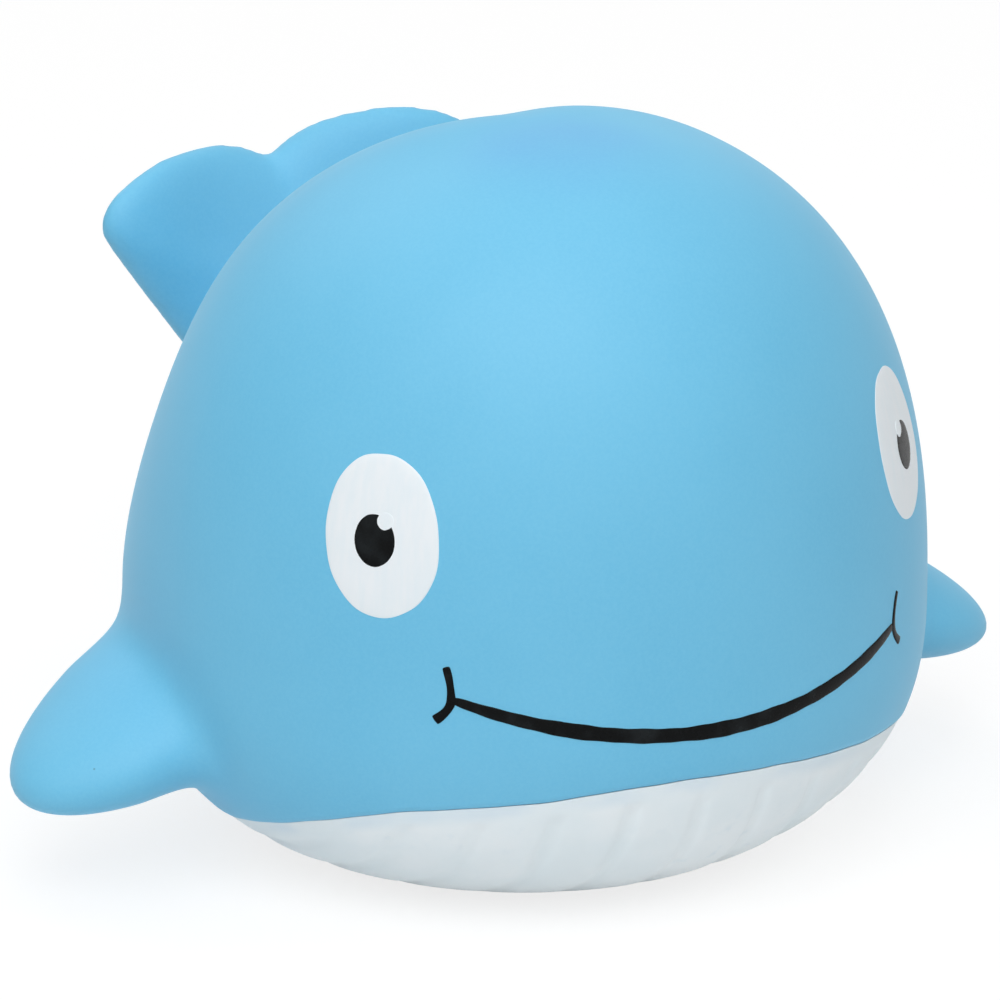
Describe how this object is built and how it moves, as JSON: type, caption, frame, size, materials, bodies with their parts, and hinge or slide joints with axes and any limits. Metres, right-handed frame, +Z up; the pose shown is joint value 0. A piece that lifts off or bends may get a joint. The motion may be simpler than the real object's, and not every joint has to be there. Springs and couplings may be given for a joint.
{
  "type": "squeaky bath toy",
  "caption": "Round hollow vinyl whale with side fins, upturned tail flukes, a painted face and belly, and a reed squeaker plugged into its flat base.",
  "frame": {"origin": "on the flat face that the toy stands on, at the squeaker's axis", "axes": "the head looks along -Y, the toy's left side is +X, +Z is up along the squeaker's axis"},
  "size_m": [0.1136, 0.1002, 0.0769],
  "materials": {
    "blue_vinyl": "matte",
    "belly_paint": "matte",
    "eye_paint": "satin",
    "black_paint": "gloss",
    "squeaker_plastic": "satin",
    "reed_brass": "polished"
  },
  "bodies": {
    "body": {"flex_wall": "blue_vinyl", "body_shell": "blue_vinyl", "belly_pan": "belly_paint", "right_fin": "blue_vinyl", "left_fin": "blue_vinyl", "tail_flukes": "blue_vinyl", "right_eye_white": "eye_paint", "left_eye_white": "eye_paint", "right_pupil": "black_paint", "left_pupil": "black_paint", "eye_glints": "eye_paint", "smile_line": "black_paint", "smile_corners": "black_paint", "squeaker_plug": "squeaker_plastic", "reed_seat": "squeaker_plastic", "reed_clamp": "squeaker_plastic", "reed_foot": "reed_brass", "vent_cap": "squeaker_plastic"},
    "crown": {"crown": "blue_vinyl"},
    "reed": {"reed_tongue": "reed_brass"}
  },
  "joints": [
    {"name": "squeeze_press", "type": "slide", "parent": "body", "child": "crown", "axis": [0, 0, -1], "range_m": [0, 0.012], "stiffness_N_per_m": 2000, "deforming": ["flex_wall"]},
    {"name": "reed_flex", "type": "hinge", "parent": "body", "child": "reed", "pos_m": [0, 0, 0.011], "axis": [1, 0, 0], "range_deg": [-2, 8], "stiffness_Nm_per_rad": 0.0001}
  ]
}
